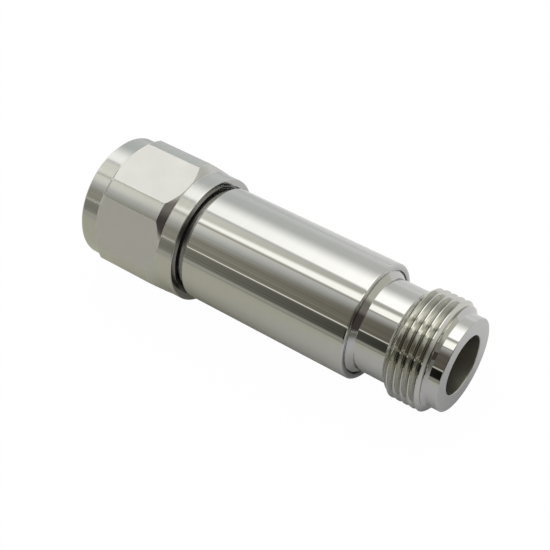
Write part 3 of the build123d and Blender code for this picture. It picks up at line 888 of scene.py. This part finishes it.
# Studio: a white tent all round, plain for the camera and for the light that it throws. In the
# metal it shows its lamps, its seams and the dim side behind the camera, in bands that run
# along the object.
def studio_band_group():
    """Shader group that lays one band over the studio. Its two edges are angles about the axis,
    in degrees from straight up towards the back, at the object's plug end and at its jack end."""
    group = bpy.data.node_groups.new("studio_band", "ShaderNodeTree")
    sockets = {
        "Colour": "NodeSocketColor",
        "Angle": "NodeSocketFloat",
        "Along": "NodeSocketFloat",
        "Start at Plug": "NodeSocketFloat",
        "Start at Jack": "NodeSocketFloat",
        "Start Blur": "NodeSocketFloat",
        "End at Plug": "NodeSocketFloat",
        "End at Jack": "NodeSocketFloat",
        "End Blur": "NodeSocketFloat",
        "Plug Colour": "NodeSocketColor",
        "Jack Colour": "NodeSocketColor",
    }
    for name, kind in sockets.items():
        group.interface.new_socket(name, in_out="INPUT", socket_type=kind)
    group.interface.new_socket("Colour", in_out="OUTPUT", socket_type="NodeSocketColor")
    entry = group.nodes.new("NodeGroupInput").outputs
    edges = []
    for edge in ("Start", "End"):
        at_plug, at_jack = entry[edge + " at Plug"], entry[edge + " at Jack"]
        run = math_node(group, "SUBTRACT", at_jack, at_plug)
        middle = math_node(group, "MULTIPLY_ADD", run, entry["Along"], at_plug)
        half = math_node(group, "MULTIPLY", entry[edge + " Blur"], 0.5)
        first = math_node(group, "SUBTRACT", middle, half)
        last = math_node(group, "ADD", middle, half)
        edges.append(ranged(group, entry["Angle"], first, last))
    mask = math_node(group, "MULTIPLY", edges[0], math_node(group, "SUBTRACT", 1, edges[1]))
    band = mixed_colour(group, entry["Along"], entry["Plug Colour"], entry["Jack Colour"])
    result = group.nodes.new("NodeGroupOutput")
    group.links.new(mixed_colour(group, mask, entry["Colour"], band), result.inputs["Colour"])
    return group


world = bpy.data.worlds.new("studio")
scene.world = world
world.use_nodes = True
tree = world.node_tree
# Where a reflection leads: its angle about the axis, how far it leans to the jack's end, and
# whether it goes out past the plug
sight = tree.nodes.new("ShaderNodeTexCoord").outputs["Generated"]
way = split_point(tree, sight)
turned = math_node(tree, "ARCTAN2", way["Y"], way["Z"])
angle = math_node(tree, "MULTIPLY", turned, 180 / pi)
past_plug = ranged(tree, way["X"], -0.59, -0.64)
to_jack_end = ranged(tree, way["X"], -0.55, -0.29, smooth=False)
along = math_node(tree, "MULTIPLY_ADD", past_plug, 0.5, to_jack_end, clamp=True)
studio_band = studio_band_group()


def lay_band(below, start, end, blurs, plug_colour, jack_colour):
    """One band over what lies below. Start and end are each an angle at the plug and at the
    jack, and the blurs are the widths of those two edges."""
    node = tree.nodes.new("ShaderNodeGroup")
    node.node_tree = studio_band
    settings = {
        "Colour": below,
        "Angle": angle,
        "Along": along,
        "Start at Plug": start[0],
        "Start at Jack": start[1],
        "Start Blur": blurs[0],
        "End at Plug": end[0],
        "End at Jack": end[1],
        "End Blur": blurs[1],
        "Plug Colour": plug_colour,
        "Jack Colour": jack_colour,
    }
    for name, setting in settings.items():
        feed(tree, node.inputs[name], setting)
    return node.outputs["Colour"]


def scaled(colour, factor):
    """A colour of the studio, brightened by a factor."""
    node = tree.nodes.new("ShaderNodeVectorMath")
    node.operation = "SCALE"
    tree.links.new(colour, node.inputs[0])
    feed(tree, node.inputs["Scale"], factor)
    return node.outputs[0]


# The walls, which grow brighter low at the back
behind_all = (200, 200)
walls = mixed_colour(tree, along, (0.76, 0.80, 0.775), (0.85, 0.85, 0.82))
walls = lay_band(walls, (82, 82), behind_all, (14, 1), (0.77, 0.815, 0.80), (1.03, 1.03, 1.01))
# The roof over the front, duller towards the jack, and the large lamp over the object's back
roof = lay_band(walls, (-30, -8), (14, 10), (16, 6), (1.18, 1.18, 1.06), (0.56, 0.557, 0.488))
roof = lay_band(roof, (19, 11.5), (46, 45.5), (5, 33), (1.60, 1.61, 1.55), (2.15, 2.14, 2.07))
# The small lamp over its front, which the nut's front ring doesn't see
lit = lay_band(roof, (-9, -12), (-6, 4.5), (3, 7), (1.80, 1.80, 1.69), (1.88, 1.87, 1.75))
lamp_reach = ranged(tree, way["X"], -0.55, -0.50)
reached = math_node(tree, "ADD", lamp_reach, past_plug, clamp=True)
roof = mixed_colour(tree, reached, roof, lit)
# The seam in front of that lamp
seam_blurs = (1.5, 1.5)
roof = lay_band(roof, (-15, -15), (-12, -12.6), seam_blurs, (0.60, 0.59, 0.53), (0.54, 0.53, 0.475))
# The dim side behind the camera, the table under it, the bright edge of the table, and the
# tent's skirt below
in_front_all = (-200, -200)
table_top = (-65.5, -65.5)
skirt_top = (-86.5, -86.5)
dim = mixed_colour(tree, past_plug, (0.46, 0.445, 0.365), (0.14, 0.135, 0.11))
side = lay_band(roof, in_front_all, (-39, -19.5), (1, 24), dim, (0.162, 0.147, 0.118))
side = lay_band(side, in_front_all, table_top, (1, 3), (0.34, 0.337, 0.28), (0.01, 0.01, 0.008))
side = lay_band(side, (-64.5, -64.6), (-63.7, -61.8), (1, 1), (2.0, 1.98, 1.76), (0.80, 0.79, 0.69))
side = lay_band(side, in_front_all, skirt_top, (1, 4), (0.58, 0.573, 0.50), (0.40, 0.395, 0.335))
# Folds of the cloth on the dim side
folds = tree.nodes.new("ShaderNodeTexNoise")
folds.noise_dimensions = "1D"
for name, setting in {"W": angle, "Scale": 0.35, "Detail": 2}.items():
    feed(tree, folds.inputs[name], setting)
fold_tone = math_node(tree, "MULTIPLY_ADD", folds.outputs["Fac"], 0.9, 0.55)
lower_side = ranged(tree, angle, -25, -40, smooth=False)
side = mixed_colour(tree, lower_side, side, scaled(side, fold_tone))
# The tent is nearer and brighter past the plug. Its two ends have no lamps: the one beyond the
# jack is plain, the one beyond the plug is a bright screen
tent = mixed_colour(tree, past_plug, side, scaled(side, 1.4))
tent = mixed_colour(tree, ranged(tree, way["X"], 0.1, 0.6), tent, (0.76, 0.75, 0.65))
tent = mixed_colour(tree, ranged(tree, way["X"], -0.76, -0.88), tent, (1.20, 1.19, 1.15))
# Two dark stands beside the camera, a little lighter at their tops
upper = ranged(tree, angle, -38, -16)
dark_cloth = mixed_colour(tree, upper, (0.08, 0.068, 0.062), (0.28, 0.265, 0.235))
camera_stand = ((0.66, -0.40, 0.636), 0.80, 0.93)
lamp_stand = ((0.945, -0.203, 0.254), 0.875, 0.945)
for centre, rim, core in (camera_stand, lamp_stand):
    towards = tree.nodes.new("ShaderNodeVectorMath")
    towards.operation = "DOT_PRODUCT"
    towards.inputs[1].default_value = centre
    tree.links.new(sight, towards.inputs[0])
    dark = ranged(tree, towards.outputs["Value"], rim, core)
    tent = mixed_colour(tree, dark, tent, dark_cloth)

ray = tree.nodes.new("ShaderNodeLightPath").outputs
plain = mixed_colour(tree, ray["Is Diffuse Ray"], (1.0, 1.0, 1.0), (0.75, 0.75, 0.75))
shown = mixed_colour(tree, ray["Is Glossy Ray"], plain, tent)
tree.links.new(shown, tree.nodes["Background"].inputs["Color"])

# Lamp: one wide soft box overhead, a little behind, which gives the sheet a faint shadow. The
# metal shows the studio's own lamps instead of it.
lamp_data = bpy.data.lights.new("soft_box", "AREA")
lamp_data.shape = "RECTANGLE"
lamp_data.size = 500 * mm
lamp_data.size_y = 400 * mm
lamp_data.energy = 0.9
lamp = bpy.data.objects.new("soft_box", lamp_data)
lamp.location = Vector((-40, 120, 420)) * mm
lamp.rotation_euler = (Vector((0, 0, 0)) - lamp.location).to_track_quat("-Z", "Y").to_euler()
lamp.visible_glossy = False
scene.collection.objects.link(lamp)
